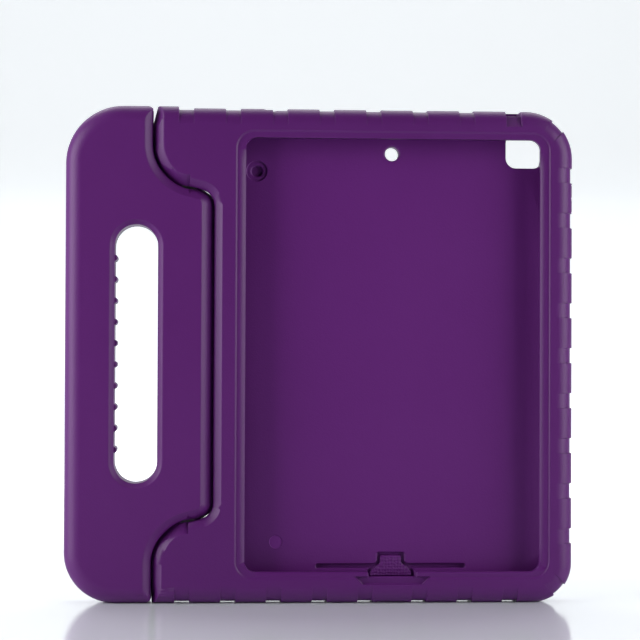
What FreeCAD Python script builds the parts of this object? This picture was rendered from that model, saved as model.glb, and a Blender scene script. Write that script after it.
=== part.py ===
"""Moulded foam case for a flat tablet computer, with a foam handle that folds back to become a stand.

Millimetres, +Z up. The case stands on its lower edge with its open front facing -Y, and the origin is
below its middle. The handle is at the left (-X) and turns about an upright hinge line.
"""
import FreeCAD
import Part
import math
import os

# The tablet that the case holds, and the room round it.
tablet_width = 169.5
tablet_height = 240.0
tablet_depth = 7.5
tablet_room = 0.5

# The foam round the tablet.
side_wall = 12.0
end_wall = 12.0
lip_depth = 4.5
floor_depth = 8.5
rim_depth = 5.0
rim_width = 12.0
lip_overlap_side = 6.25
lip_overlap_end = 5.0
opening_corner = 5.8
pocket_corner = 10.0
ledge_side = 5.3
ledge_end = 3.9
ledge_depth = 0.7
body_drop = 0.9
lower_body_corner = 21.0
upper_body_corner = 25.5
front_round = 9.0
back_round = 7.0

# The handle, measured leftward from the hinge line.
strap_width = 16.2
slot_width = 22.9
slot_length = 137.6
slot_bevel = 2.6
grip_width = 26.4
lower_handle_corner = 27.0
upper_handle_corner = 31.0
nub_count = 10
nub_pitch = 11.35
nub_radius = 1.8
nub_proud = 1.5
nub_inset = 4.0

# The seam between handle and case: surfaces turned about the hinge line.
seam_gap = 1.4
seam_from_end = 43.8
tongue_radius = 14.7
tongue_corner = 8.0
tongue_slope = 35.0
tongue_corner_drop = 9.2
ear_radius = 20.3
ear_corner = 16.0
ear_slope = 50.0
ear_corner_rise = 20.1
ear_tip_length = 11.0
upper_ear_taper = 2.8
lower_ear_taper = 0.8
groove_bevel = 3.8
groove_bevel_depth = 2.8
groove_vee = 2.4
groove_vee_depth = 3.6
groove_slope = 14.0
groove_ear_round = 24.0
groove_tongue_round = 8.0
fold_angle = 110.0
fold_room = 0.4
stop_room_angle = 3.0
hinge_wall = 8.0

# The hinge hardware.
pin_radius = 2.5
pin_length = 26.0
pin_running_room = 0.05
socket_across = 10.0
socket_side_count = 6
socket_length = 15.0
flange_radius = 7.5
flange_depth = 1.6
flange_proud = 0.55

# The shallow blocks round the outside.
recess_depth = 0.9
recess_width = 8.0
recess_reach = 14.0
top_recess_count = 8
top_recess_pitch = 25.05
last_top_recess = 20.7
port_block = 29.0
lower_recess_pitch = 24.4
lower_left_count = 5
lower_right_count = 3
side_recess_count = 9
side_recess_pitch = 24.2

# Holes for the tablet's parts.
rear_lens_width = 20.4
rear_lens_height = 19.0
rear_lens_corner = 5.6
rear_lens_from_side = 13.2
rear_lens_from_top = 9.6
microphone_hole = 7.5
microphone_from_top = 12.0
jack_hole = 7.0
jack_from_side = 19.0
top_slot_width = 9.6
top_slot_height = 3.4
port_width = 14.6
port_height = 6.0
port_hood_width = 25.6
port_neck_length = 14.2
port_shoulder_top = 9.4
port_shoulder_foot = 4.6
port_line = 1.5
port_line_depth = 2.4
port_panel_depth = 0.6
lip_gap_height = 2.6
lip_dip_width = 40.0
lip_dip_height = 4.1
lip_dip_depth = 2.4
speaker_groove_length = 81.0
speaker_groove_width = 2.4
speaker_groove_depth = 3.0
floor_dish = 11.0
floor_dish_depth = 1.0
floor_dish_bore = 6.0
floor_dish_bore_depth = 3.0
floor_dish_from_side = 12.3
floor_dish_from_top = 21.9
gate_mark = 7.0
gate_mark_depth = 0.4
gate_mark_from_side = 23.4
gate_mark_from_bottom = 19.9

# The covers over the tablet's buttons.
pad_room = 0.3
volume_from_top = 36.0
volume_pad_height = 7.0
volume_pad_gap = 0.8
pad_depth = 6.0
pad_flange = 1.2
pad_flange_thick = 1.2
relief_depth = 2.0
volume_relief = 43.0
power_relief = 14.0
power_pad_width = 6.8
scoop_width = 8.0
scoop_depth = 4.0
scoop_front_drop = 10.0

# Worked out from the sizes above.
margin = 1.0
pocket_width = tablet_width + 2 * tablet_room
pocket_height = tablet_height + 2 * tablet_room
pocket_depth = tablet_depth + tablet_room
depth = lip_depth + pocket_depth + floor_depth + rim_depth
height = pocket_height + 2 * end_wall
cavity_radius = tongue_radius + seam_gap
width = side_wall + pocket_width + hinge_wall + cavity_radius + strap_width + slot_width + grip_width
left = -width / 2
right = width / 2
front = -depth / 2
back = depth / 2
middle = height / 2
seam_height = height - seam_from_end
tongue_corner_height = seam_height - tongue_corner_drop
ear_corner_height = seam_height + ear_corner_rise
pocket_right = right - side_wall
pocket_left = pocket_right - pocket_width
pocket_middle = (pocket_left + pocket_right) / 2
pocket_bottom = end_wall
pocket_top = height - end_wall
lip_back = front + lip_depth
floor_front = lip_back + pocket_depth
floor_back = floor_front + floor_depth
tablet_middle = (lip_back + floor_front) / 2
hinge_x = pocket_left - hinge_wall - cavity_radius
opening_width = pocket_width - 2 * lip_overlap_side
opening_height = pocket_height - 2 * lip_overlap_end
slot_left = left + grip_width


def plate(x0, x1, z0, z1, y0, y1, radii):
    """A plate from y0 to y1 with rounded corners: lower right, upper right, upper left and lower left."""
    turn = math.sqrt(0.5)
    signs = [(x1, z0, 1, -1), (x1, z1, 1, 1), (x0, z1, -1, 1), (x0, z0, -1, -1)]
    edges = []
    last = None
    first = None
    for index, ((x, z, out_x, out_z), corner) in enumerate(zip(signs, radii)):
        centre = FreeCAD.Vector(x - out_x * corner, y0, z - out_z * corner)
        beside = centre + FreeCAD.Vector(out_x * corner, 0, 0)
        across = centre + FreeCAD.Vector(0, 0, out_z * corner)
        start, end = (across, beside) if index % 2 == 0 else (beside, across)
        bulge = centre + FreeCAD.Vector(out_x * corner * turn, 0, out_z * corner * turn)
        if last is not None and last.distanceToPoint(start) > 1e-6:
            edges.append(Part.LineSegment(last, start).toShape())
        edges.append(Part.Arc(start, bulge, end).toShape())
        first = first or start
        last = end
    if last.distanceToPoint(first) > 1e-6:
        edges.append(Part.LineSegment(last, first).toShape())
    face = Part.Face(Part.Wire(edges))
    return face.extrude(FreeCAD.Vector(0, y1 - y0, 0))


def centred_plate(x, z, wide, high, y0, y1, corner):
    """A rounded plate centred on x and z."""
    return plate(x - wide / 2, x + wide / 2, z - high / 2, z + high / 2, y0, y1, [corner] * 4)


def box(x0, x1, y0, y1, z0, z1):
    """A box between two corners."""
    return Part.makeBox(x1 - x0, y1 - y0, z1 - z0, FreeCAD.Vector(x0, y0, z0))


def mirrored(shape):
    """The same shape at the lower end of the case."""
    return shape.mirror(FreeCAD.Vector(0, 0, middle), FreeCAD.Vector(0, 0, 1))


def both_ends(shape):
    """The shape with its mirror image at the lower end."""
    return Part.makeCompound([shape, mirrored(shape)])


def turned(edges, start, sweep):
    """A solid turned about the hinge line from a closed profile of (radius, height) edges."""
    face = Part.Face(Part.Wire(edges))
    solid = face.revolve(FreeCAD.Vector(hinge_x, 0, 0), FreeCAD.Vector(0, 0, 1), sweep)
    solid.rotate(FreeCAD.Vector(hinge_x, 0, 0), FreeCAD.Vector(0, 0, 1), start)
    return solid


def on_profile(radius, level):
    """A point of a turned profile."""
    return FreeCAD.Vector(hinge_x + radius, 0, level)


def line(a, b):
    """A straight edge of a turned profile, between two (radius, height) pairs."""
    return Part.LineSegment(on_profile(*a), on_profile(*b)).toShape()


def arc(centre, radius, start, end):
    """A round edge of a turned profile, between two angles in degrees."""
    points = []
    for angle in (start, (start + end) / 2, end):
        turn = math.radians(angle)
        points.append(on_profile(centre[0] + radius * math.cos(turn), centre[1] + radius * math.sin(turn)))
    return Part.Arc(*points).toShape()


def ear_curve(offset):
    """The ear's end as (flat edge, slope start, centre, radius), moved outward by an offset."""
    radius = ear_corner + offset
    centre = (ear_radius - ear_corner, ear_corner_height)
    slope = math.radians(ear_slope)
    touch = (centre[0] + radius * math.sin(slope), centre[1] - radius * math.cos(slope))
    level = seam_height - offset
    start = touch[0] - (touch[1] - level) / math.tan(slope)
    return (start, level), touch, centre, radius


def tongue_curve(offset):
    """The tongue's end as (flat edge, slope start, centre, radius), moved outward by an offset."""
    radius = tongue_corner + offset
    centre = (tongue_radius + seam_gap / 2 - tongue_corner, tongue_corner_height)
    slope = math.radians(tongue_slope)
    touch = (centre[0] + radius * math.sin(slope), centre[1] + radius * math.cos(slope))
    level = seam_height + offset
    start = touch[0] - (level - touch[1]) / math.tan(slope)
    return (start, level), touch, centre, radius


def ear_end(offset, start, sweep, taper):
    """The upper ear's turned end, from its face on the seam up past the top, drawn in there by a taper."""
    flat, touch, centre, radius = ear_curve(offset)
    outer = ear_radius + offset
    top = height + margin
    tip = outer - taper
    edges = [line((0, top), (0, flat[1])), line((0, flat[1]), flat), line(flat, touch)]
    edges.append(arc(centre, radius, ear_slope - 90, 0))
    edges.append(line((outer, centre[1]), (outer, height - ear_tip_length)))
    edges.append(line((outer, height - ear_tip_length), (tip, height)))
    edges.append(line((tip, height), (tip, top)))
    edges.append(line((tip, top), (0, top)))
    return turned(edges, start, sweep)


def tongue_end(offset, start, sweep):
    """The upper half of the turned tongue, from mid height to its end on the seam."""
    flat, touch, centre, radius = tongue_curve(offset)
    outer = centre[0] + radius
    edges = [line((0, middle), (0, flat[1])), line((0, flat[1]), flat), line(flat, touch)]
    edges.append(arc(centre, radius, 90 - tongue_slope, 0))
    edges.append(line((outer, centre[1]), (outer, middle)))
    edges.append(line((outer, middle), (0, middle)))
    return turned(edges, start, sweep)


def below_ear(offset, outer, start, sweep):
    """The room under the upper ear's end, out to a radius, from mid height up."""
    flat, touch, centre, radius = ear_curve(offset)
    rise = math.sqrt(radius ** 2 - (outer - centre[0]) ** 2)
    angle = -math.degrees(math.atan2(rise, outer - centre[0]))
    edges = [line((0, middle), (0, flat[1])), line((0, flat[1]), flat), line(flat, touch)]
    edges.append(arc(centre, radius, ear_slope - 90, angle))
    edges.append(line((outer, centre[1] - rise), (outer, middle)))
    edges.append(line((outer, middle), (0, middle)))
    return turned(edges, start, sweep)


def seam_path():
    """The seam as it shows half way down the vee: upright lines, a slope and the arcs that join them."""
    level = depth / 2 - groove_bevel_depth - groove_vee_depth / 2
    ear_x = hinge_x - math.sqrt(ear_radius ** 2 - level ** 2)
    tongue_x = hinge_x + math.sqrt((tongue_radius + seam_gap / 2) ** 2 - level ** 2)
    slope = math.radians(groove_slope)
    turn = math.pi / 2 - slope
    along = FreeCAD.Vector(math.cos(slope), 0, -math.sin(slope))
    down = FreeCAD.Vector(0, 0, -1)

    def corner(x):
        return FreeCAD.Vector(x, front, seam_height - (x - hinge_x) * math.tan(slope))

    def bend(point, arriving, leaving, radius):
        reach = radius * math.tan(turn / 2)
        start = point - arriving * reach
        end = point + leaving * reach
        inward = (leaving - arriving).normalize()
        bulge = point + inward * (radius / math.cos(turn / 2) - radius)
        return start, bulge, end

    upper = bend(corner(ear_x), down, along, groove_ear_round)
    lower = bend(corner(tongue_x), along, down, groove_tongue_round)
    top = FreeCAD.Vector(ear_x, front, height + margin)
    half = [Part.LineSegment(top, upper[0]).toShape(), Part.Arc(*upper).toShape(),
            Part.LineSegment(upper[2], lower[0]).toShape(), Part.Arc(*lower).toShape()]
    end = lower[2]
    straight = Part.LineSegment(end, FreeCAD.Vector(end.x, end.y, height - end.z)).toShape()
    other = [mirrored(edge) for edge in reversed(half)]
    return top, half + [straight] + other


def seam_groove():
    """The groove that the seam makes in the front face: two bevels that run into a steeper vee."""
    start, path = seam_path()
    half = groove_vee / 2
    reach = groove_bevel + half
    bend = front + groove_bevel_depth
    outline = [(-reach, front - margin), (-reach, front), (-half, bend), (0, bend + groove_vee_depth),
               (half, bend), (reach, front), (reach, front - margin)]
    points = [FreeCAD.Vector(start.x + out, y, start.z) for out, y in outline]
    section = Part.makePolygon(points + points[:1])
    return Part.Wire(path).makePipeShell([section], True, False)


def slab(inset, drop):
    """The outline with rounded front and back edges, smaller all round by an inset and lower by a drop."""
    radii = [lower_body_corner, upper_body_corner, upper_handle_corner, lower_handle_corner]
    shape = plate(left + inset, right - inset, inset, height - drop - inset, front, back,
                  [radius - inset for radius in radii])
    front_edges = [e for e in shape.Edges if abs(e.BoundBox.YMax - front) < 1e-6]
    shape = shape.makeFillet(front_round, front_edges)
    back_edges = [e for e in shape.Edges if abs(e.BoundBox.YMin - back) < 1e-6]
    return shape.makeFillet(back_round, back_edges)


def recess_bars():
    """Bars across the outer edges, where the shallow recesses between the blocks are."""
    deep_y = (front - margin, back + margin)
    bars = []

    def end_bar(x, z0, z1):
        bars.append(box(x - recess_width / 2, x + recess_width / 2, *deep_y, z0, z1))

    for index in range(1, top_recess_count):
        x = pocket_right - last_top_recess - index * top_recess_pitch
        end_bar(x, height - recess_reach, height + margin)
    for side, count in ((-1, lower_left_count), (1, lower_right_count)):
        for index in range(count):
            x = pocket_middle + side * (port_block / 2 + index * lower_recess_pitch)
            end_bar(x, -margin, recess_reach)
    for index in range(side_recess_count):
        z = middle + (index - (side_recess_count - 1) / 2) * side_recess_pitch
        bars.append(box(right - recess_reach, right + margin, *deep_y,
                        z - recess_width / 2, z + recess_width / 2))
    for corner, z, side in ((upper_body_corner, height - body_drop, 1), (lower_body_corner, 0, -1)):
        bar = box(0, corner + margin, *deep_y, -recess_width / 2, recess_width / 2)
        bar.rotate(FreeCAD.Vector(0, 0, 0), FreeCAD.Vector(0, 1, 0), -45 * side)
        bar.translate(FreeCAD.Vector(right - corner, 0, z - side * corner))
        bars.append(bar)
    return bars


def fold_bevel():
    """The room behind the case's hinge edge that the folded handle's back face needs."""
    turn = math.radians(fold_angle)
    reach = depth / 2 + fold_room
    far = depth / 2 + margin
    corners = [(0, 0), (reach / math.sin(turn), 0),
               ((reach - far * math.cos(turn)) / math.sin(turn), far), (0, far)]
    low = height - ear_corner_height
    points = [FreeCAD.Vector(hinge_x + x, y, low) for x, y in corners]
    face = Part.Face(Part.makePolygon(points + points[:1]))
    prism = face.extrude(FreeCAD.Vector(0, 0, ear_corner_height - low))
    ears = both_ends(ear_end(-seam_gap / 2, 0, 360, 0))
    return prism.cut(ears)


def handle_shape(whole, groove):
    """The foam handle: grip bar, slot, nubs and the turned tongue between the ears."""
    keep = whole.common(box(left - margin, hinge_x, front - margin, back + margin, -margin, height + margin))
    keep = keep.cut(both_ends(ear_end(seam_gap / 2, 0, 360, 0)))
    right_half = both_ends(tongue_end(-seam_gap / 2, 0, 360)).common(
        box(hinge_x, hinge_x + 2 * tongue_radius, front, back, 0, height))
    shape = keep.fuse(right_half.Solids[0]).fuse(right_half.Solids[1]).removeSplitter()
    notch = below_ear(seam_gap / 2, tongue_radius, 90 - margin, fold_angle - 90 + margin + stop_room_angle)
    notch = notch.cut(tongue_end(-seam_gap / 2, 0, 360))
    shape = shape.cut(both_ends(notch))
    slot = plate(slot_left, slot_left + slot_width, middle - slot_length / 2, middle + slot_length / 2,
                 front - margin, back + margin, [slot_width / 2 - 1e-3] * 4)
    shape = shape.cut(slot)
    rims = [e for e in shape.Edges if in_slot_rim(e)]
    shape = shape.makeChamfer(slot_bevel, rims)
    for index in range(nub_count):
        z = middle + (index - (nub_count - 1) / 2) * nub_pitch
        nub = Part.makeCylinder(nub_radius, depth - 2 * nub_inset,
                                FreeCAD.Vector(slot_left + nub_proud - nub_radius, front + nub_inset, z),
                                FreeCAD.Vector(0, 1, 0))
        shape = shape.fuse(nub)
    shape = shape.cut(groove).cut(back_groove(groove))
    return shape.cut(both_ends(socket_room(-1)))


def in_slot_rim(edge):
    """Whether an edge is on the slot's rim in the front or back face."""
    bounds = edge.BoundBox
    reach = slot_length / 2 + margin
    flat = bounds.YLength < 1e-6 and abs(abs(bounds.YMin) - back) < 1e-6
    inside = bounds.XMin > slot_left - margin and bounds.XMax < slot_left + slot_width + margin
    return flat and inside and bounds.ZMin > middle - reach and bounds.ZMax < middle + reach


def back_groove(groove):
    """The same groove in the back face."""
    return groove.mirror(FreeCAD.Vector(0, 0, 0), FreeCAD.Vector(0, 1, 0))


def socket_room(side):
    """The room for a socket: side 1 is in the ear above the seam, side -1 in the tongue below it."""
    face = seam_height + side * seam_gap / 2
    flange = cylinder_up(flange_radius, face, side * (flange_depth - flange_proud))
    return socket_body(side).fuse(flange)


def socket_body(side):
    """A socket's six-sided body, which the foam round it keeps from turning."""
    face = seam_height + side * seam_gap / 2
    reach = socket_across / 2 / math.cos(math.pi / socket_side_count)
    points = []
    for index in range(socket_side_count):
        turn = 2 * math.pi * index / socket_side_count
        points.append(FreeCAD.Vector(hinge_x + reach * math.cos(turn), reach * math.sin(turn), face))
    outline = Part.Face(Part.makePolygon(points + points[:1]))
    return outline.extrude(FreeCAD.Vector(0, 0, side * socket_length))


def cylinder_up(radius, level, length):
    """A cylinder on the hinge line from a level, upward or downward by the length's sign."""
    low = min(level, level + length)
    return Part.makeCylinder(radius, abs(length), FreeCAD.Vector(hinge_x, 0, low))


def socket(side, bore):
    """A flanged hard plastic socket, seated in the ear (side 1) or in the tongue (side -1)."""
    proud = seam_height + side * (seam_gap / 2 - flange_proud)
    shape = socket_body(side).fuse(cylinder_up(flange_radius, proud, side * flange_depth))
    deep = pin_length / 2 + seam_gap / 2
    return shape.cut(cylinder_up(bore, seam_height - side * margin, side * (deep + margin)))


def case_shape(whole, groove):
    """The foam case: pocket, lip, floor, rear rim and the two ears that carry the hinge."""
    body = slab(0, body_drop)
    keep = body.common(box(hinge_x, right + margin, front - margin, back + margin, -margin, height + margin))
    ears = Part.makeCompound([ear_end(-seam_gap / 2, 90, 180, upper_ear_taper),
                              mirrored(ear_end(-seam_gap / 2, 90, 180, lower_ear_taper))])
    ears = ears.common(whole)
    shape = keep
    for ear in ears.Solids:
        shape = shape.fuse(ear)
    shape = shape.removeSplitter()
    shape = shape.cut(both_ends(tongue_end(seam_gap / 2, 0, 360)))
    room = below_ear(-seam_gap / 2, cavity_radius, 0, 270 + stop_room_angle)
    shape = shape.cut(both_ends(room))
    shape = shape.cut(fold_bevel())
    shape = shape.cut(groove).cut(back_groove(groove))
    shape = shape.cut(both_ends(socket_room(1)))
    for tool in pocket_rooms() + tablet_holes() + outside_rooms() + pad_rooms():
        shape = shape.cut(tool)
    return shape


def pocket_rooms():
    """The room for the tablet, the opening in the lip, and the hollow behind the floor."""
    room = centred_plate(pocket_middle, middle, pocket_width, pocket_height,
                         lip_back, floor_front, pocket_corner)
    opening = centred_plate(pocket_middle, middle, opening_width, opening_height,
                            front - margin, lip_back + margin, opening_corner)
    ledge = centred_plate(pocket_middle, middle, opening_width + 2 * ledge_side,
                          opening_height + 2 * ledge_end, front - margin, front + ledge_depth,
                          opening_corner + ledge_end)
    foot = [e for e in ledge.Edges if abs(e.BoundBox.YMin - front - ledge_depth) < 1e-6]
    ledge = ledge.makeChamfer(ledge_depth, foot)
    rim = rim_width + back_round / 2
    hollow = plate(pocket_left + rim_width - hinge_wall, right - rim, rim, height - rim,
                   floor_back, back + margin, [lower_body_corner / 2] * 4)
    return [room, opening, ledge, hollow]


def tablet_holes():
    """The holes and channels for the tablet's lens, microphones, jack, port and speakers."""
    tools = []
    tools.append(centred_plate(pocket_right - rear_lens_from_side, pocket_top - rear_lens_from_top,
                               rear_lens_width, rear_lens_height, floor_front - margin, back + margin,
                               rear_lens_corner))
    tools.append(Part.makeCylinder(microphone_hole / 2, floor_depth + 2 * margin,
                                   FreeCAD.Vector(pocket_middle, floor_front - margin,
                                                  pocket_top - microphone_from_top),
                                   FreeCAD.Vector(0, 1, 0)))
    tools.append(Part.makeCylinder(jack_hole / 2, end_wall + 2 * margin,
                                   FreeCAD.Vector(pocket_left + jack_from_side, tablet_middle,
                                                  pocket_top - margin)))
    tools.append(box(pocket_middle - top_slot_width / 2, pocket_middle + top_slot_width / 2,
                     tablet_middle - top_slot_height / 2, tablet_middle + top_slot_height / 2,
                     pocket_top - margin, height + margin))
    tools.append(box(pocket_middle - port_width / 2, pocket_middle + port_width / 2,
                     tablet_middle - port_height / 2, tablet_middle + port_height / 2,
                     -margin, pocket_bottom + margin))
    tools.append(port_outline(0, port_line_depth).cut(port_outline(port_line, port_line_depth + margin)))
    tools.append(port_outline(port_line, port_panel_depth))
    lip_edge = middle - opening_height / 2
    tools.append(box(pocket_middle - port_hood_width / 2, pocket_middle + port_hood_width / 2,
                     front - margin, lip_back + margin, lip_edge - lip_gap_height, lip_edge + margin))
    tools.append(lip_dip(lip_edge - lip_gap_height))
    shoulder = (port_shoulder_top + port_shoulder_foot) / 2
    groove = centred_plate(pocket_middle, pocket_bottom + shoulder, speaker_groove_length,
                           speaker_groove_width, floor_front - margin, floor_front + speaker_groove_depth,
                           speaker_groove_width / 2 - 1e-3)
    tools.append(groove.cut(port_outline(0, floor_depth)))
    for across, deep in ((floor_dish, floor_dish_depth), (floor_dish_bore, floor_dish_bore_depth)):
        tools.append(floor_mark(across, deep, floor_dish_from_side, pocket_top - floor_dish_from_top))
    tools.append(floor_mark(gate_mark, gate_mark_depth, gate_mark_from_side,
                            pocket_bottom + gate_mark_from_bottom))
    return tools


def port_outline(inset, deep):
    """The shouldered panel behind the port, made smaller by an inset and cut into the floor to a depth."""
    corners = [(port_hood_width / 2, 0), (port_hood_width / 2, port_shoulder_foot),
               (port_width / 2, port_shoulder_top), (port_width / 2, port_neck_length)]
    outline = corners + [(-x, z) for x, z in reversed(corners)]
    points = [FreeCAD.Vector(pocket_middle + x, floor_front - margin, pocket_bottom + z) for x, z in outline]
    face = Part.Face(Part.makePolygon(points + points[:1]))
    if inset:
        face = face.makeOffset2D(-inset, 2)
    return face.extrude(FreeCAD.Vector(0, margin + deep, 0))


def lip_dip(top):
    """The dip in the lip's front below the port gap, with slanted ends."""
    wide = lip_dip_width / 2
    narrow = wide - lip_dip_height
    outline = [(-wide, top), (wide, top), (narrow, top - lip_dip_height), (-narrow, top - lip_dip_height)]
    points = [FreeCAD.Vector(pocket_middle + x, front - margin, z) for x, z in outline]
    face = Part.Face(Part.makePolygon(points + points[:1]))
    return face.extrude(FreeCAD.Vector(0, lip_dip_depth + margin, 0))


def floor_mark(across, deep, from_side, z):
    """A shallow round recess in the pocket's floor."""
    place = FreeCAD.Vector(pocket_left + from_side, floor_front - margin, z)
    return Part.makeCylinder(across / 2, deep + margin, place, FreeCAD.Vector(0, 1, 0))


def outside_rooms():
    """The shallow recesses between the outer blocks."""
    inner = slab(recess_depth, body_drop)
    return [bar.cut(inner) for bar in recess_bars()]


def volume_places():
    """Heights of the two volume pads' middles, upper first."""
    centre = pocket_top - volume_from_top
    apart = (volume_pad_height + volume_pad_gap) / 2
    return centre + apart, centre - apart


def side_stem(z, room, reach):
    """A volume pad's stem, or the hole that it slides in: wider by a room and longer by a reach."""
    half = volume_pad_height / 2
    return box(pocket_right + relief_depth - pad_room, right - recess_depth / 2 + reach,
               tablet_middle - pad_depth / 2 - room, tablet_middle + pad_depth / 2 + room,
               z - half - room, z + half + room)


def top_stem(room, reach):
    """The power pad's stem, or the hole that it slides in: wider by a room and longer by a reach."""
    x = pocket_right - last_top_recess
    half = power_pad_width / 2
    return box(x - half - room, x + half + room,
               tablet_middle - pad_depth / 2 - room, tablet_middle + pad_depth / 2 + room,
               pocket_top + relief_depth - pad_room, height - scoop_depth + reach)


def pad_rooms():
    """What the pads slide in: their holes, the relief behind them and the scoop over the power pad."""
    tools = [side_stem(z, pad_room, margin) for z in volume_places()]
    centre = sum(volume_places()) / 2
    tools.append(box(pocket_right - margin, pocket_right + relief_depth, lip_back, floor_front,
                     centre - volume_relief / 2, centre + volume_relief / 2))
    x = pocket_right - last_top_recess
    low = height - scoop_depth
    far = back - back_round
    profile = [(front - margin, height - scoop_front_drop), (front, height - scoop_front_drop),
               (front + front_round / 2, low), (far, low), (far, height + margin),
               (front - margin, height + margin)]
    points = [FreeCAD.Vector(x - scoop_width / 2, y, z) for y, z in profile]
    face = Part.Face(Part.makePolygon(points + points[:1]))
    tools.append(face.extrude(FreeCAD.Vector(scoop_width, 0, 0)))
    tools.append(box(x - power_relief / 2, x + power_relief / 2, lip_back, floor_front,
                     pocket_top - margin, pocket_top + relief_depth))
    tools.append(top_stem(pad_room, margin))
    return tools


def pads():
    """The three button pads, each a stem with a flange inside the wall."""
    made = {}
    upper, lower = volume_places()
    half = volume_pad_height / 2
    y0, y1 = tablet_middle - pad_depth / 2, tablet_middle + pad_depth / 2
    outer = pocket_right + relief_depth - pad_room
    for name, z, grow_up, grow_down in (("volume_up_pad", upper, pad_flange, 0),
                                        ("volume_down_pad", lower, 0, pad_flange)):
        flange = box(outer - pad_flange_thick, outer, y0, y1, z - half - grow_down, z + half + grow_up)
        made[name] = side_stem(z, 0, 0).fuse(flange).removeSplitter()
    x = pocket_right - last_top_recess
    reach = power_pad_width / 2 + pad_flange
    outer = pocket_top + relief_depth - pad_room
    flange = box(x - reach, x + reach, y0, y1, outer - pad_flange_thick, outer)
    made["power_pad"] = top_stem(0, 0).fuse(flange).removeSplitter()
    return made


def export(name, shape):
    """Write one node as a STEP file and print its size."""
    solids = shape.Solids
    if len(solids) == 1:
        shape = solids[0]
    print(name, "solids", len(solids), "valid", shape.isValid(), "volume", round(shape.Volume, 1))
    shape.exportStep("parts/" + name + ".step")


def main():
    """Build every node and write it."""
    os.makedirs("parts", exist_ok=True)
    whole = slab(0, 0)
    groove = seam_groove()
    nodes = {"case_body": case_shape(whole, groove), "handle": handle_shape(whole, groove)}
    bush = socket(1, pin_radius + pin_running_room)
    anchor = socket(-1, pin_radius)
    pin = cylinder_up(pin_radius, seam_height - pin_length / 2, pin_length)
    nodes.update({"upper_ear_bush": bush, "lower_ear_bush": mirrored(bush)})
    nodes.update({"upper_handle_anchor": anchor, "lower_handle_anchor": mirrored(anchor)})
    nodes.update({"upper_hinge_pin": pin, "lower_hinge_pin": mirrored(pin)})
    nodes.update(pads())
    for name, shape in nodes.items():
        export(name, shape)


if __name__ == "__main__":
    main()
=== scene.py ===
"""Looks of a moulded foam tablet case whose foam handle folds back to become a stand.

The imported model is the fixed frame. The two foam mouldings and the three button pads are shown as
shells with rounded edges, worked out from their own nodes, and the hinge's sockets and pins keep
their nodes with better finishes. Everything is in metres, +Z up, with the open front facing -Y.
"""

import logging
from dataclasses import dataclass, field
from enum import Enum

import bmesh
import bpy
import numpy as np
from mathutils import Euler, Matrix, Vector
from mathutils.bvhtree import BVHTree


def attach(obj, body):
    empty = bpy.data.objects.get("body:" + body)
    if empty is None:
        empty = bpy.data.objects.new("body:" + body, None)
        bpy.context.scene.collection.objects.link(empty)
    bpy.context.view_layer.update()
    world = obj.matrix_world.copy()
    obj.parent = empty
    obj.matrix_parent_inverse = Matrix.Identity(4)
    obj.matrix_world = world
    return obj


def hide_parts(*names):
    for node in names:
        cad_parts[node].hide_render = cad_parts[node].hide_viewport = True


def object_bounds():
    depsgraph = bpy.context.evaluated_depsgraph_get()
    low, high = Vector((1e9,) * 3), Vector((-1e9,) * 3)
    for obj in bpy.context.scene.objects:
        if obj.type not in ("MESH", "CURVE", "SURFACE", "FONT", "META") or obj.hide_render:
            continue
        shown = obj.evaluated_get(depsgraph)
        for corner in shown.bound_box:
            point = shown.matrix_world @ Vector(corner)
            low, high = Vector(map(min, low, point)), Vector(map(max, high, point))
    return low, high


LOG = logging.getLogger("tablet_case")
MM = 0.001

# How the rounds are fitted. Areas are twice a triangle's own, as the cross product of its sides gives.
MERGE_DISTANCE = 0.002 * MM  # corners nearer than this are one corner
FLAT_TURN = np.radians(0.5)  # lines between faces that turn less than this are dissolved
FREE_SHARE = 0.42  # the share of a neighbouring edge's length that one round may use
NEARLY_STRAIGHT = np.radians(1.9)  # edges that turn less than this count as one line
STEP_ROOM = 0.4 * MM  # how much two following rounds may differ, times the sine of their turn
CHAIN_PASSES = 40  # how far along a chain of edges a narrow round is felt
REPAIRS = 7  # tries at a mesh without strayed or folded places
GENTLE_REPAIRS = 3  # tries that halve a round; later ones leave the edge sharp
STRAY_SHARE = 0.6  # a corner farther from the old surface than this share of the full round has strayed
FOLD_AREA = (0.8 * MM) ** 2  # a triangle folded by more than this inside its face is refilled
SMALL_FACE = (0.8 * MM) ** 2  # smaller triangles aren't compared with the old surface
AGAINST = -0.2  # the cosine below which a triangle faces against the old surface

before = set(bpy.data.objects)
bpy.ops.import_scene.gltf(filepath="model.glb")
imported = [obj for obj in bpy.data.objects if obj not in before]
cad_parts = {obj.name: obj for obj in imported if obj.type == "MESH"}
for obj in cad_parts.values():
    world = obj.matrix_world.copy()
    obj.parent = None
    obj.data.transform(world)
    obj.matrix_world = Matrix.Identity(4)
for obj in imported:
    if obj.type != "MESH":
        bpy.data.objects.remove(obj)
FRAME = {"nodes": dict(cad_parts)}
CAD_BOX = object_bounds()


def srgb(red: int, green: int, blue: int) -> tuple[float, float, float, float]:
    """Turn a display colour into the linear colour that a shader takes.

    Args:
        red: Red, 0 to 255.
        green: Green, 0 to 255.
        blue: Blue, 0 to 255.

    Returns:
        Linear red, green, blue and an alpha of 1.
    """
    tone = np.array([red, green, blue]) / 255.0
    linear = np.where(tone <= 0.04045, tone / 12.92, ((tone + 0.055) / 1.055) ** 2.4)
    return (float(linear[0]), float(linear[1]), float(linear[2]), 1.0)


# ---------------------------------------------------------------- node groups


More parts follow.
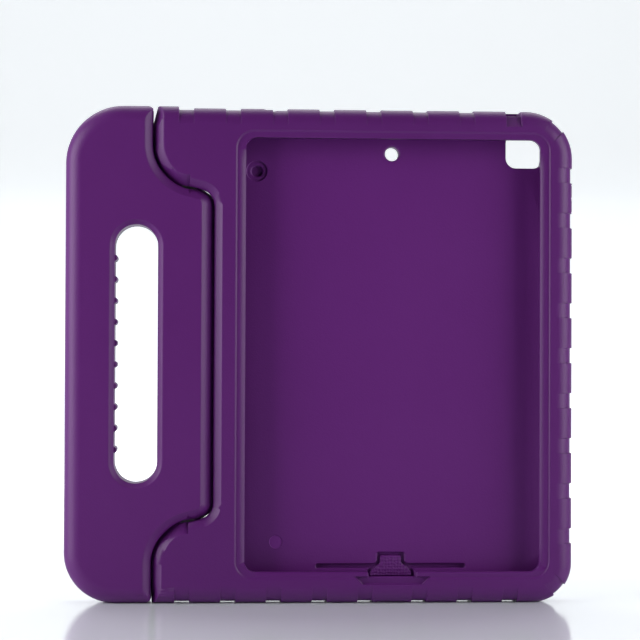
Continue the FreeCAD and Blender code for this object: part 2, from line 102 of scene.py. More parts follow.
class TreeMaker:
    """Short calls that add to a shader node tree and wire it."""

    tree: bpy.types.NodeTree

    def node(self, kind: str, **settings: object) -> bpy.types.Node:
        """Add a node and set its properties."""
        made = self.tree.nodes.new(kind)
        for label, value in settings.items():
            setattr(made, label, value)
        return made

    def join(self, source: bpy.types.NodeSocket, target: bpy.types.NodeSocket) -> None:
        """Link one socket to another."""
        self.tree.links.new(source, target)

    def give(self, value: object, target: bpy.types.NodeSocket) -> None:
        """Link a socket to an input, or set the input where the value is a number or a colour."""
        if isinstance(value, bpy.types.NodeSocket):
            self.join(value, target)
        else:
            target.default_value = value

    def math(self, operation: str, first: object, second: object = 0.0) -> bpy.types.NodeSocket:
        """Add a maths node whose inputs are sockets or numbers.

        Args:
            operation: The maths node's operation.
            first: The first socket or number.
            second: The second socket or number.

        Returns:
            The node's result.
        """
        made = self.node("ShaderNodeMath", operation=operation)
        self.give(first, made.inputs[0])
        self.give(second, made.inputs[1])
        return made.outputs[0]


class GroupMaker(TreeMaker):
    """Builds a shader node group with named inputs and outputs, once."""

    def __init__(self, name: str, inputs: dict[str, float | tuple], outputs: dict[str, str]) -> None:
        """Open a new group.

        Args:
            name: The group's name.
            inputs: Each input's name and default; a tuple is a colour, a number is a float.
            outputs: Each output's name and socket type.
        """
        self.tree = bpy.data.node_groups.new(name, "ShaderNodeTree")
        for label, value in inputs.items():
            kind = "NodeSocketColor" if isinstance(value, tuple) else "NodeSocketFloat"
            self.tree.interface.new_socket(label, in_out="INPUT", socket_type=kind).default_value = value
        for label, kind in outputs.items():
            self.tree.interface.new_socket(label, in_out="OUTPUT", socket_type=kind)
        self.given = self.node("NodeGroupInput").outputs
        self.result = self.node("NodeGroupOutput").inputs

    def tint(self, gain: bpy.types.NodeSocket) -> None:
        """Give out the group's Tone times a gain as its Color."""
        tone = self.node("ShaderNodeHueSaturation")
        self.join(self.given["Tone"], tone.inputs["Color"])
        self.join(gain, tone.inputs["Value"])
        self.join(tone.outputs["Color"], self.result["Color"])

    def within(self, value: bpy.types.NodeSocket, low: float, high: float) -> bpy.types.NodeSocket:
        """1 between two bounds and 0 outside them."""
        off = self.math("ABSOLUTE", self.math("SUBTRACT", value, (low + high) / 2))
        return self.math("LESS_THAN", off, (high - low) / 2)

    def product(self, *values: bpy.types.NodeSocket) -> bpy.types.NodeSocket:
        """The product of two or more values."""
        joined = values[0]
        for value in values[1:]:
            joined = self.math("MULTIPLY", joined, value)
        return joined

    def texture(self, kind: str, scale: object, feature: str = "", **values: float) -> bpy.types.Node:
        """Add a texture that reads the surface's own place.

        Args:
            kind: The texture node's type.
            scale: Its scale, as a socket or a number.
            feature: A cell texture's feature, where it isn't the plain one.
            values: Its other inputs by name.

        Returns:
            The node.
        """
        made = self.node(kind, **({"feature": feature} if feature else {}))
        self.join(object_position(self), made.inputs["Vector"])
        self.give(scale, made.inputs["Scale"])
        for label, value in values.items():
            made.inputs[label].default_value = value
        return made


def object_position(maker: TreeMaker) -> bpy.types.NodeSocket:
    """The surface's own place, in object coordinates."""
    return maker.node("ShaderNodeTexCoord").outputs["Object"]


def build_grain_group() -> bpy.types.NodeTree:
    """Closed-cell foam skin: fine rounded pebbles over a slow waviness.

    Returns:
        A group from Grain Size, Pebble Height and Wave Height, in metres, to a Height.
    """
    maker = GroupMaker(
        "foam_grain",
        {"Grain Size": 0.7 * MM, "Pebble Height": 0.05 * MM, "Wave Height": 0.15 * MM},
        {"Height": "NodeSocketFloat"},
    )
    scale = maker.math("DIVIDE", 1.0, maker.given["Grain Size"])
    cells = maker.texture("ShaderNodeTexVoronoi", scale, "SMOOTH_F1", Smoothness=0.6)
    fine = maker.texture("ShaderNodeTexNoise", maker.math("MULTIPLY", scale, 0.6), Detail=4.0)
    slow = maker.texture("ShaderNodeTexNoise", 28.0, Detail=2.0)
    pebble = maker.product(cells.outputs["Distance"], maker.given["Pebble Height"])
    rough = maker.product(fine.outputs["Fac"], maker.given["Pebble Height"])
    wave = maker.product(slow.outputs["Fac"], maker.given["Wave Height"])
    height = maker.math("ADD", maker.math("SUBTRACT", rough, pebble), wave)
    maker.join(height, maker.result["Height"])
    return maker.tree


def build_mottle_group() -> bpy.types.NodeTree:
    """Slow changes of tone over a moulding, as dye and skin thickness give.

    Returns:
        A group from a Tone and an Amount to a Color and a roughness Shift.
    """
    maker = GroupMaker(
        "dye_mottle",
        {"Tone": (0.1, 0.1, 0.1, 1.0), "Amount": 0.1},
        {"Color": "NodeSocketColor", "Shift": "NodeSocketFloat"},
    )
    cloud = maker.texture("ShaderNodeTexNoise", 14.0, Detail=5.0, Roughness=0.55)
    swing = maker.product(maker.math("SUBTRACT", cloud.outputs["Fac"], 0.5), maker.given["Amount"])
    maker.tint(maker.math("ADD", swing, 1.0))
    maker.join(swing, maker.result["Shift"])
    return maker.tree


# The pocket's places, as the lowest and highest X, Y and Z. Over the floor's box the tone is lifted as
# painted light.
POCKET_FLOOR = ((-46.4 * MM, 124.0 * MM), (-1.0 * MM, 4.0 * MM), (12.1 * MM, 252.9 * MM))
PORT_PANEL = ((26.9 * MM, 50.7 * MM), (-0.2 * MM, 0.4 * MM), (12.0 * MM, 25.2 * MM))
GATE_MIDDLE = (-23.05 * MM, -0.1 * MM, 31.9 * MM)
GATE_RADIUS = 3.5 * MM
DIMPLES_PER_METRE = 620.0
DIMPLE_DEPTH = 0.5 * MM


def build_pocket_group() -> bpy.types.NodeTree:
    """The pocket's floor: painted light that lifts its tone, the gate's scar and the dimpled panel behind
    the port.

    Returns:
        A group from a Tone, the floor's Gain of painted light and the Scar Gain to a Color, the Scar's
        mask and the dimples' Height.
    """
    maker = GroupMaker(
        "pocket_floor",
        {"Tone": (0.1, 0.1, 0.1, 1.0), "Gain": 1.2, "Scar Gain": 1.5},
        {"Color": "NodeSocketColor", "Scar": "NodeSocketFloat", "Height": "NodeSocketFloat"},
    )
    place = object_position(maker)
    axes = maker.node("ShaderNodeSeparateXYZ")
    maker.join(place, axes.inputs["Vector"])
    floor, panel = (
        maker.product(*(maker.within(axis, *bounds) for axis, bounds in zip(axes.outputs, box)))
        for box in (POCKET_FLOOR, PORT_PANEL)
    )
    from_gate = maker.node("ShaderNodeVectorMath", operation="DISTANCE")
    maker.join(place, from_gate.inputs[0])
    from_gate.inputs[1].default_value = GATE_MIDDLE
    scar = maker.math("LESS_THAN", from_gate.outputs["Value"], GATE_RADIUS)
    dimples = maker.texture("ShaderNodeTexVoronoi", DIMPLES_PER_METRE, Randomness=0.35)
    depth = maker.math("MULTIPLY", maker.product(panel, dimples.outputs["Distance"]), DIMPLE_DEPTH)
    # Painted light: the floor's tone is raised by its Gain, standing in for light the lamps leave short
    # there.
    painted_floor_light = maker.product(floor, maker.math("SUBTRACT", maker.given["Gain"], 1.0))
    paler = maker.product(scar, maker.math("SUBTRACT", maker.given["Scar Gain"], 1.0))
    maker.tint(maker.math("ADD", maker.math("ADD", 1.0, painted_floor_light), paler))
    maker.join(scar, maker.result["Scar"])
    maker.join(depth, maker.result["Height"])
    return maker.tree


class Effect(Enum):
    """The shared surface effects."""

    GRAIN = "foam_grain"
    MOTTLE = "dye_mottle"
    POCKET = "pocket_floor"


EFFECT_BUILDERS = {
    Effect.GRAIN: build_grain_group,
    Effect.MOTTLE: build_mottle_group,
    Effect.POCKET: build_pocket_group,
}


def effect_tree(effect: Effect) -> bpy.types.NodeTree:
    """The node group of a shared effect, built the first time it is asked for."""
    return bpy.data.node_groups.get(effect.value) or EFFECT_BUILDERS[effect]()


class MaterialMaker(TreeMaker):
    """A material with one Principled shader."""

    def __init__(self, name: str) -> None:
        """Make the material and find its shader."""
        self.material = bpy.data.materials.new(name)
        self.material.use_nodes = True
        self.tree = self.material.node_tree
        self.shader = self.tree.nodes["Principled BSDF"]

    def effect(self, effect: Effect, **values: object) -> bpy.types.Node:
        """Place a shared effect.

        Args:
            effect: Which effect.
            values: Its inputs by name, with _ for a space; each is a socket, a number or a colour.

        Returns:
            The group node.
        """
        made = self.node("ShaderNodeGroup", node_tree=effect_tree(effect))
        for label, value in values.items():
            self.give(value, made.inputs[label.replace("_", " ")])
        return made

    def feed(self, label: str, value: object) -> None:
        """Link a changing value to one of the shader's sockets, or set a constant on it."""
        self.give(value, self.shader.inputs[label])

    def relief(self, height: bpy.types.NodeSocket) -> None:
        """Turn a height in metres into the shader's normal."""
        bump = self.node("ShaderNodeBump")
        bump.inputs["Distance"].default_value = 1.0
        self.join(height, bump.inputs["Height"])
        self.feed("Normal", bump.outputs["Normal"])


# ------------------------------------------------------------------- finishes


@dataclass(frozen=True)
class FoamFinish:
    """Skinned closed-cell foam, dyed through and satin from its mould."""

    name: str
    tone: tuple[float, float, float, float]
    roughness: float = 0.45
    specular: float = 0.28
    grain_size: float = 0.75 * MM
    pebble_height: float = 0.040 * MM
    wave_height: float = 0.20 * MM
    mottle: float = 0.10
    pocket: bool = False
    scar_roughness: float = 0.15

    def build(self) -> bpy.types.Material:
        """Make the foam's material.

        Returns:
            The material, whose colour, roughness and relief change over the surface.
        """
        maker = MaterialMaker(self.name)
        grain = maker.effect(Effect.GRAIN, Grain_Size=self.grain_size,
                             Pebble_Height=self.pebble_height, Wave_Height=self.wave_height)
        mottle = maker.effect(Effect.MOTTLE, Tone=self.tone, Amount=self.mottle)
        tone, height = mottle.outputs["Color"], grain.outputs["Height"]
        rough = maker.math("ADD", self.roughness, mottle.outputs["Shift"])
        # With the pocket, the floor's tone also gets painted light from the pocket group, besides the scar
        # and dimples.
        if self.pocket:
            pocket = maker.effect(Effect.POCKET, Tone=tone)
            tone = pocket.outputs["Color"]
            height = maker.math("ADD", height, pocket.outputs["Height"])
            worn = maker.math("MULTIPLY", pocket.outputs["Scar"], self.scar_roughness)
            rough = maker.math("ADD", rough, worn)
        maker.feed("Base Color", tone)
        maker.feed("Roughness", rough)
        maker.relief(height)
        maker.feed("Specular IOR Level", self.specular)
        return maker.material


@dataclass(frozen=True)
class PlasticFinish:
    """Hard moulded plastic with a fine spark-eroded texture."""

    name: str
    tone: tuple[float, float, float, float]
    roughness: float = 0.42

    def build(self) -> bpy.types.Material:
        """Make the plastic's material.

        Returns:
            The material, with a finer grain than the foam's and no waviness.
        """
        maker = MaterialMaker(self.name)
        grain = maker.effect(Effect.GRAIN, Grain_Size=0.25 * MM, Pebble_Height=0.01 * MM, Wave_Height=0.0)
        mottle = maker.effect(Effect.MOTTLE, Tone=self.tone, Amount=0.15)
        maker.feed("Base Color", mottle.outputs["Color"])
        maker.feed("Roughness", maker.math("ADD", self.roughness, mottle.outputs["Shift"]))
        maker.relief(grain.outputs["Height"])
        return maker.material


@dataclass(frozen=True)
class SteelFinish:
    """Drawn steel pin: bright, with fine lines round it."""

    name: str
    tone: tuple[float, float, float, float]
    roughness: float = 0.28
    line_scale: float = 1200.0
    line_roughness: float = 0.12
    line_height: float = 0.002 * MM

    def build(self) -> bpy.types.Material:
        """Make the steel's material.

        Returns:
            The material, with drawn lines in its roughness and relief.
        """
        maker = MaterialMaker(self.name)
        lines = maker.node("ShaderNodeTexWave", bands_direction="Z")
        lines.inputs["Scale"].default_value = self.line_scale
        lines.inputs["Distortion"].default_value = 3.0
        maker.join(object_position(maker), lines.inputs["Vector"])
        mottle = maker.effect(Effect.MOTTLE, Tone=self.tone, Amount=0.25)
        maker.feed("Base Color", mottle.outputs["Color"])
        scored = maker.math("MULTIPLY", lines.outputs["Fac"], self.line_roughness)
        maker.feed("Roughness", maker.math("ADD", scored, self.roughness))
        maker.relief(maker.math("MULTIPLY", lines.outputs["Fac"], self.line_height))
        maker.feed("Metallic", 1.0)
        return maker.material


# ------------------------------------------------------------- rounded shells


@dataclass
class FacetMesh:
    """A node's mesh as whole arrays: corners, faces, edges and how the surface turns at each edge."""

    corners: np.ndarray
    edges: np.ndarray
    turns: np.ndarray

    @classmethod
    def read(cls, mesh: bpy.types.Mesh) -> "FacetMesh":
        """Read a closed mesh.

        Each edge's turn is the angle between the normals of the two faces that share it, and is
        negative where the surface folds inward: that is where the second face's middle lies in
        front of the first face.

        Args:
            mesh: A mesh whose doubles are merged.

        Returns:
            The mesh's arrays.
        """
        count = len(mesh.edges)
        corners = read_array(mesh.vertices, "co", 3)
        edges = read_array(mesh.edges, "vertices", 2, np.int32)
        normals = read_array(mesh.polygons, "normal", 3)
        middles = read_array(mesh.polygons, "center", 3)
        sides = read_array(mesh.polygons, "loop_total", 1, np.int32)
        loop_edges = read_array(mesh.loops, "edge_index", 1, np.int32)
        faces = np.repeat(np.arange(len(sides)), sides)
        order = np.argsort(loop_edges, kind="stable")
        first = np.searchsorted(loop_edges[order], np.arange(count))
        shared = np.bincount(loop_edges, minlength=count) == 2
        one = faces[order][np.minimum(first, len(order) - 1)]
        two = faces[order][np.minimum(first + 1, len(order) - 1)]
        cosine = np.clip(np.einsum("ij,ij->i", normals[one], normals[two]), -1.0, 1.0)
        inward = np.einsum("ij,ij->i", middles[two] - middles[one], normals[one]) > 0
        turns = np.where(shared, np.arccos(cosine), 0.0) * np.where(inward, -1.0, 1.0)
        return cls(corners, edges, turns)

    def meetings(self) -> tuple[np.ndarray, np.ndarray, np.ndarray]:
        """Every two edges that share a corner.

        Returns:
            One edge of each pair, the other edge, and the cosine of the angle between the ways in
            which they leave the corner; each pair is there both ways round.
        """
        ends = self.edges.T.ravel()
        order = np.argsort(ends, kind="stable")
        ends = ends[order]
        owners = np.tile(np.arange(len(self.edges)), 2)[order]
        signs = np.repeat([1.0, -1.0], len(self.edges))[order]
        ways = np.diff(self.corners[self.edges], axis=1)[:, 0] / self.lengths()[:, None]
        ways = ways[owners] * signs[:, None]
        ones, twos, cosines = [], [], []
        for step in range(1, np.bincount(ends).max()):
            near = np.flatnonzero(ends[:-step] == ends[step:])
            far = near + step
            cosine = np.einsum("ij,ij->i", ways[near], ways[far])
            ones += [owners[near], owners[far]]
            twos += [owners[far], owners[near]]
            cosines += [cosine, cosine]
        return np.concatenate(ones), np.concatenate(twos), np.concatenate(cosines)

    def lengths(self) -> np.ndarray:
        """Every edge's length."""
        return np.maximum(np.linalg.norm(np.diff(self.corners[self.edges], axis=1)[:, 0], axis=1), 1e-9)

    def fit_rounds(self, wanted: np.ndarray) -> np.ndarray:
        """Narrow the rounds to what the mesh round them has room for.

        Where a round ends at a corner it slides along a plain edge there by its width over the sine
        of the angle between them, and along a rounded edge that turns away by about its width; it
        may use a share of their lengths. Two rounded edges that nearly follow on from each other
        meet far away when their widths differ, so their widths are kept as near to each other as
        the turn between them allows.

        Args:
            wanted: The round wanted at each edge, in metres; none where it is 0.

        Returns:
            The round that each edge can take.
        """
        one, two, cosine = self.meetings()
        sine = np.sqrt(np.maximum(1.0 - cosine ** 2, 0.0))
        lengths = self.lengths()
        rounded = wanted > 0.0
        width = wanted.copy()
        slides = rounded[one] & (~rounded[two] | (cosine > -0.5))
        reach = lengths[two] * np.where(rounded[two] & (cosine < 0.5), 1.0, sine)
        np.minimum.at(width, one[slides], FREE_SHARE * reach[slides])
        follows = rounded[one] & rounded[two] & (cosine < -0.7) & (sine > np.sin(NEARLY_STRAIGHT))
        one, two, slack = one[follows], two[follows], STEP_ROOM * sine[follows]
        for _ in range(CHAIN_PASSES):
            np.minimum.at(width, one, width[two] + slack)
        return width


def read_array(items: bpy.types.bpy_prop_collection, label: str, width: int,
               kind: type = np.float64) -> np.ndarray:
    """Read one property of a whole collection.

    Args:
        items: The mesh's corners, edges, faces or loops.
        label: The property's name.
        width: How many numbers the property has.
        kind: The numbers' type.

    Returns:
        One row for each item, or a flat array where the width is 1.
    """
    values = np.empty(len(items) * width, dtype=np.float32 if kind is np.float64 else kind)
    items.foreach_get(label, values)
    values = values.astype(kind)
    return values if width == 1 else values.reshape(-1, width)


@dataclass
class RoundedShell:
    """A moulding whose crisp corners are rounded, as foam leaves a mould."""

    node: str
    body: str
    slot: str
    finish: FoamFinish
    edge_round: float = 1.2 * MM
    inner_round: float = 0.6 * MM
    least_turn: float = np.radians(24.0)
    segments: int = 3
    cuts: tuple[tuple[int, float], ...] = ()

    def build(self) -> bpy.types.Object:
        """Copy the node's mesh, merge it, round its edges and dress it.

        Returns:
            The finished piece.
        """
        source = frame_nodes()[self.node]
        mesh = source.data.copy()
        mesh.name = self.node + "_shell"
        piece = bpy.data.objects.new(self.node + "_shell", mesh)
        bpy.context.collection.objects.link(piece)
        self.merge(mesh)
        finished = self.round_edges(piece)
        piece.modifiers.clear()
        piece.data = finished
        finished.name = self.node + "_skin"
        self.calm(finished)
        finished.materials.clear()
        finished.materials.append(self.finish.build())
        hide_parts(self.node)
        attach(piece, self.body)
        return piece

    def merge(self, mesh: bpy.types.Mesh) -> None:
        """Join the node's loose triangles and dissolve the lines inside its flat faces.

        The mesh is first cut by planes across its holes. A flat face with a hole then falls into
        parts whose seams meet the hole's rim squarely, and those seams are kept.
        """
        work = bmesh.new()
        work.from_mesh(mesh)
        bmesh.ops.remove_doubles(work, verts=work.verts, dist=MERGE_DISTANCE)
        for axis, place in self.cuts:
            square = Vector([float(index == axis) for index in range(3)])
            whole = work.verts[:] + work.edges[:] + work.faces[:]
            cut = bmesh.ops.bisect_plane(work, geom=whole, dist=1e-7, plane_co=square * place,
                                         plane_no=square)
            for piece in cut["geom_cut"]:
                if isinstance(piece, bmesh.types.BMEdge):
                    piece.seam = True
        bmesh.ops.dissolve_limit(work, angle_limit=FLAT_TURN, verts=work.verts, edges=work.edges,
                                 delimit={"SEAM"})
        work.to_mesh(mesh)
        work.free()

    def round_edges(self, piece: bpy.types.Object) -> bpy.types.Mesh:
        """Round the sharp edges, and narrow the rounds wherever a corner strays or a face folds.

        The tries end when nothing is found or when they run out, so the last mesh may still hold
        a few such places.

        Args:
            piece: The merged moulding.

        Returns:
            The rounded mesh.
        """
        mesh = piece.data
        facets = FacetMesh.read(mesh)
        wanted = np.where(facets.turns > self.least_turn, self.edge_round, 0.0)
        wanted = np.where(facets.turns < -self.least_turn, self.inner_round, wanted)
        width = facets.fit_rounds(wanted)
        weights = mesh.attributes.new("bevel_weight_edge", "FLOAT", "EDGE")
        surface = BVHTree.FromObject(piece, bpy.context.evaluated_depsgraph_get())
        bevel = piece.modifiers.new("mould_round", "BEVEL")
        bevel.limit_method = "WEIGHT"
        bevel.width = self.edge_round
        bevel.segments = self.segments
        bevel.use_clamp_overlap = False
        bevel.miter_outer = "MITER_ARC"
        for step in range(REPAIRS):
            weights.data.foreach_set("value", (width / self.edge_round).astype(np.float32))
            mesh.update()
            shown = piece.evaluated_get(bpy.context.evaluated_depsgraph_get())
            finished = bpy.data.meshes.new_from_object(shown)
            culprits = self.culprits(finished, surface, facets)
            LOG.info("%s try %d: %d culprits, rounds of %.2f mm", self.node, step, len(culprits),
                     width[width > 0].mean() / MM)
            if len(culprits) == 0 or step == REPAIRS - 1:
                break
            bpy.data.meshes.remove(finished)
            touched = np.isin(facets.edges, culprits).any(axis=1)
            narrowed = width * 0.5 if step < GENTLE_REPAIRS else 0.0
            width = facets.fit_rounds(np.where(touched, narrowed, width))
            weights = mesh.attributes["bevel_weight_edge"]
        return finished

    def unfold(self, rounded: bpy.types.Mesh) -> list[np.ndarray]:
        """Fill every folded face anew: one of its triangles faces the other way.

        Args:
            rounded: The rounded mesh; its folded faces are split into triangles.

        Returns:
            The corners' places of the triangles that are still folded.
        """
        places = read_array(rounded.vertices, "co", 3)
        rounded.calc_loop_triangles()
        triangles = read_array(rounded.loop_triangles, "vertices", 3, np.int32)
        owners = read_array(rounded.loop_triangles, "polygon_index", 1, np.int32)
        a, b, c = places[triangles].transpose(1, 0, 2)
        fronts = read_array(rounded.polygons, "normal", 3)[owners]
        facing = np.einsum("ij,ij->i", np.cross(b - a, c - a), fronts)
        work = bmesh.new()
        work.from_mesh(rounded)
        work.faces.ensure_lookup_table()
        still = []
        for face in [work.faces[index] for index in np.unique(owners[facing < -FOLD_AREA]).tolist()]:
            normal = face.normal.copy()
            filled = bmesh.ops.triangulate(work, faces=[face], quad_method="BEAUTY", ngon_method="BEAUTY")
            for triangle in filled["faces"]:
                if triangle.normal.dot(normal) * triangle.calc_area() < -FOLD_AREA / 2:
                    still += [np.array(corner.co) for corner in triangle.verts]
        work.to_mesh(rounded)
        work.free()
        return still

    def culprits(self, rounded: bpy.types.Mesh, surface: BVHTree, facets: FacetMesh) -> np.ndarray:
        """The old corners beside every new corner that strayed, and those of every faulty triangle.

        A new corner strays when it is far from the old surface. A triangle is faulty when it is
        folded inside its face, or faces against the old surface.

        Args:
            rounded: The rounded mesh.
            surface: The old surface.
            facets: The old mesh's arrays.

        Returns:
            Indices of old corners.
        """
        folded = self.unfold(rounded) + self.inverted(rounded, surface)
        places = read_array(rounded.vertices, "co", 3)
        gaps = np.array([surface.find_nearest(place)[3] for place in places.tolist()])
        strayed = gaps > STRAY_SHARE * self.edge_round
        links = read_array(rounded.edges, "vertices", 2, np.int32)
        beside = links[strayed[links].any(axis=1)].ravel()
        beside = np.concatenate([places[np.unique(beside[~strayed[beside]])], np.reshape(folded, (-1, 3))])
        if len(beside) == 0:
            return np.empty(0, dtype=np.int32)
        apart = np.linalg.norm(beside[:, None] - facets.corners[None], axis=2)
        return np.unique(np.argmin(apart, axis=1))

    def inverted(self, rounded: bpy.types.Mesh, surface: BVHTree) -> list[np.ndarray]:
        """The corners' places of the triangles that face against the old surface beside them.

        Args:
            rounded: The rounded mesh.
            surface: The old surface.

        Returns:
            The places.
        """
        rounded.calc_loop_triangles()
        triangles = read_array(rounded.loop_triangles, "vertices", 3, np.int32)
        ends = read_array(rounded.vertices, "co", 3)[triangles]
        across = np.cross(ends[:, 1] - ends[:, 0], ends[:, 2] - ends[:, 0])
        size = np.linalg.norm(across, axis=1)
        wide = np.flatnonzero(size > SMALL_FACE)
        near = np.array([surface.find_nearest(place)[1] for place in ends[wide].mean(axis=1).tolist()])
        against = np.einsum("ij,ij->i", across[wide], near) < AGAINST * size[wide]
        return list(ends[wide[against]].reshape(-1, 3))

    def calm(self, mesh: bpy.types.Mesh) -> None:
        """Set each corner's normal to the sum of its faces' normals times their areas.

        A wide flat face so keeps its own normal up to its rim, and the narrow faces of a round
        share theirs.
        """
        corners = read_array(mesh.loops, "vertex_index", 1, np.int32)
        sides = read_array(mesh.polygons, "loop_total", 1, np.int32)
        normals = read_array(mesh.polygons, "normal", 3) * read_array(mesh.polygons, "area", 1)[:, None]
        pulls = np.repeat(normals, sides, axis=0).T
        total = np.stack([np.bincount(corners, pull, len(mesh.vertices)) for pull in pulls], axis=1)
        lengths = np.linalg.norm(total, axis=1, keepdims=True)
        mesh.shade_smooth()
        mesh.normals_split_custom_set_from_vertices((total / np.maximum(lengths, 1e-20)).tolist())


def frame_nodes() -> dict[str, bpy.types.Object]:
    """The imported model's nodes by name."""
    return FRAME["nodes"]


# --------------------------------------------------------------------- studio


@dataclass(frozen=True)
class Lamp:
    """A soft rectangular lamp that looks at a point."""

    name: str
    place: tuple[float, float, float]
    size: tuple[float, float]
    power: float
    tone: tuple[float, float, float] = (1.0, 1.0, 1.0)

    def build(self, target: Vector) -> None:
        """Hang the lamp so that it faces the target."""
        light = bpy.data.lights.new(self.name, "AREA")
        light.shape = "RECTANGLE"
        light.size, light.size_y = self.size
        light.energy = self.power
        light.color = self.tone
        lamp = bpy.data.objects.new(self.name, light)
        bpy.context.collection.objects.link(lamp)
        lamp.location = self.place
        lamp.rotation_euler = (target - Vector(self.place)).to_track_quat("-Z", "Y").to_euler()


@dataclass
class Studio:
    """A pale glossy sweep, soft lamps and the camera."""

    half_width: float = 3.0
    front_reach: float = 0.5
    back_reach: float = 1.0
    sweep_radius: float = 1.4
    sweep_height: float = 3.0
    camera_place: tuple[float, float, float] = (-0.0691, -1.150, 0.1311)
    camera_turn: tuple[float, float, float] = (0.996, -0.241, -3.45)
    lens: float = 120.4
    sensor: float = 36.0
    gloss: float = 0.12
    refraction: float = 1.75
    glow_starts: float = 0.1
    glow_full: float = 1.0
    floor_glow: float = 0.0
    wall_glow: float = 0.74
    ambient: float = 0.05
    bend_steps: int = 24
    lamps: list[Lamp] = field(default_factory=lambda: [
        Lamp("left_softbox", (-1.03, -0.31, 0.30), (0.8, 1.1), 19.5),
        Lamp("right_softbox", (0.98, -0.46, 0.30), (0.7, 1.1), 13.5),
        Lamp("top_softbox", (0.0, 0.65, 1.25), (1.6, 1.0), 14.0),
    ])

    def build(self) -> None:
        """Make the sweep, lamps, world and camera."""
        self.sweep()
        low, high = CAD_BOX
        target = (low + high) / 2
        for lamp in self.lamps:
            lamp.build(target)
        self.world()
        self.camera()
        bpy.context.scene.view_settings.view_transform = "Standard"

    def sweep(self) -> bpy.types.Object:
        """The floor and backdrop as one sheet: floor, quarter round and wall, carried along X.

        The profile's length s runs along the floor, then round a quarter circle of the sweep
        radius, then up the wall.

        Returns:
            The sheet.
        """
        turn = np.linspace(0.0, np.pi / 2, self.bend_steps)
        bend_y = self.back_reach + self.sweep_radius * np.sin(turn)
        bend_z = self.sweep_radius * (1.0 - np.cos(turn))
        y = np.concatenate([[-self.front_reach], bend_y, [bend_y[-1]]])
        z = np.concatenate([[0.0], bend_z, [self.sweep_height]])
        x = np.array([-self.half_width, self.half_width])
        grid = np.stack([np.repeat(x, len(y)), np.tile(y, 2), np.tile(z, 2)], axis=1)
        step = np.arange(len(y) - 1)
        faces = np.stack([step, step + len(y), step + len(y) + 1, step + 1], axis=1)
        mesh = bpy.data.meshes.new("studio_sweep")
        mesh.from_pydata(grid.tolist(), [], faces.tolist())
        mesh.shade_smooth()
        mesh.materials.append(self.sweep_material())
        sheet = bpy.data.objects.new("studio_sweep", mesh)
        bpy.context.collection.objects.link(sheet)
        return sheet

    def sweep_material(self) -> bpy.types.Material:
        """Glossy white acrylic, lit from within where the camera or a reflection sees it.

        Returns:
            The material; its glow grows from the floor by the object to the wall behind it.
        """
        maker = MaterialMaker("white_acrylic")
        maker.feed("Base Color", srgb(238, 242, 248))
        maker.feed("Roughness", self.gloss)
        maker.feed("IOR", self.refraction)
        maker.feed("Emission Color", srgb(247, 251, 253))
        path = maker.node("ShaderNodeLightPath")
        seen = maker.math("MAXIMUM", path.outputs["Is Camera Ray"], path.outputs["Is Glossy Ray"])
        axes = maker.node("ShaderNodeSeparateXYZ")
        maker.join(object_position(maker), axes.inputs["Vector"])
        away = maker.node("ShaderNodeMapRange")
        away.inputs["From Min"].default_value = self.glow_starts
        away.inputs["From Max"].default_value = self.glow_full
        away.inputs["To Min"].default_value = self.floor_glow
        away.inputs["To Max"].default_value = self.wall_glow
        maker.join(axes.outputs["Y"], away.inputs["Value"])
        maker.feed("Emission Strength", maker.math("MULTIPLY", seen, away.outputs["Result"]))
        return maker.material

    def world(self) -> None:
        """Even pale light from all round; white where the camera sees it directly."""
        world = bpy.data.worlds.new("studio_world")
        bpy.context.scene.world = world
        world.use_nodes = True
        tree = world.node_tree
        background = tree.nodes["Background"]
        path = tree.nodes.new("ShaderNodeLightPath")
        blend = tree.nodes.new("ShaderNodeMapRange")
        blend.inputs["To Min"].default_value = self.ambient
        blend.inputs["To Max"].default_value = 1.0
        tree.links.new(path.outputs["Is Camera Ray"], blend.inputs["Value"])
        tree.links.new(blend.outputs["Result"], background.inputs["Strength"])
        background.inputs["Color"].default_value = srgb(248, 250, 253)

    def camera(self) -> None:
        """The camera, turned about its own place from looking along +Y."""
        data = bpy.data.cameras.new("camera")
        data.lens = self.lens
        data.sensor_width = self.sensor
        camera = bpy.data.objects.new("camera", data)
        bpy.context.collection.objects.link(camera)
        pitch, roll, yaw = np.radians(self.camera_turn)
        turn = (Matrix.Rotation(yaw, 4, "Z") @ Matrix.Rotation(pitch, 4, "X")
                @ Matrix.Rotation(roll, 4, "Y"))
        ahead = Euler((np.pi / 2, 0.0, 0.0)).to_matrix().to_4x4()
        camera.matrix_world = Matrix.Translation(self.camera_place) @ turn @ ahead
        bpy.context.scene.camera = camera
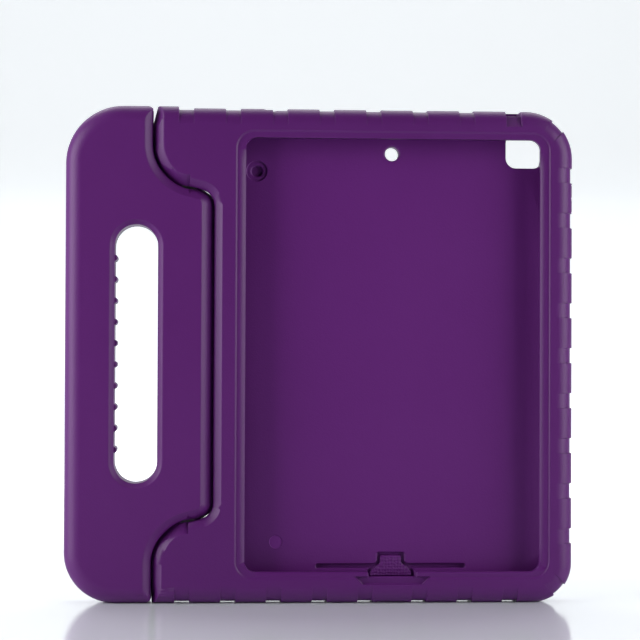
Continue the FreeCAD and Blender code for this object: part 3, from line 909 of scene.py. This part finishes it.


# ----------------------------------------------------------------------- main


# The case's pocket floor carries painted light, a tone lifted by the pocket group's Gain.
CASE_FINISH = FoamFinish("case_foam_skin", srgb(82, 25, 98), pocket=True)
HANDLE_FINISH = FoamFinish("handle_foam_skin", srgb(84, 26, 100))
PAD_FINISH = FoamFinish("pad_foam_skin", srgb(84, 34, 98), grain_size=0.5 * MM,
                        pebble_height=0.03 * MM, wave_height=0.0)
SOCKET_FINISH = PlasticFinish("socket_plastic", srgb(38, 34, 42))
PIN_FINISH = SteelFinish("pin_steel", srgb(205, 205, 208))
PAD_ROUND = 0.6 * MM

# Planes across the mouldings' holes, each as its axis (0 for X, 2 for Z) and its place on it.
CASE_CUTS = ((0, 38.8 * MM), (2, 132.5 * MM), (2, 241.2 * MM), (0, 110.9 * MM), (0, -34.15 * MM),
             (0, -23.05 * MM), (2, 231.1 * MM), (2, 31.9 * MM), (2, 19.0 * MM), (0, -70.55 * MM))
HANDLE_CUTS = ((0, -98.2 * MM), (2, 132.5 * MM))


def dress_nodes(names: list[str], material: bpy.types.Material) -> None:
    """Give whole nodes that keep their shape one material."""
    for name in names:
        mesh = frame_nodes()[name].data
        mesh.materials.clear()
        mesh.materials.append(material)
        LOG.info("dressed %s", name)


def main() -> None:
    """Build every piece in order."""
    logging.basicConfig(level=logging.INFO, format="%(message)s")
    shells = [
        RoundedShell("case_body", "case", "case_foam", CASE_FINISH, cuts=CASE_CUTS),
        RoundedShell("handle", "handle", "handle_foam", HANDLE_FINISH, cuts=HANDLE_CUTS),
        RoundedShell("volume_up_pad", "volume_up_pad", "pad_foam", PAD_FINISH, edge_round=PAD_ROUND),
        RoundedShell("volume_down_pad", "volume_down_pad", "pad_foam", PAD_FINISH, edge_round=PAD_ROUND),
        RoundedShell("power_pad", "power_pad", "pad_foam", PAD_FINISH, edge_round=PAD_ROUND),
    ]
    for shell in shells:
        piece = shell.build()
        LOG.info("%s: %d corners", piece.name, len(piece.data.vertices))
    dress_nodes(["upper_ear_bush", "lower_ear_bush", "upper_handle_anchor", "lower_handle_anchor"],
                SOCKET_FINISH.build())
    dress_nodes(["upper_hinge_pin", "lower_hinge_pin"], PIN_FINISH.build())
    Studio().build()


if __name__ == "__main__":
    main()
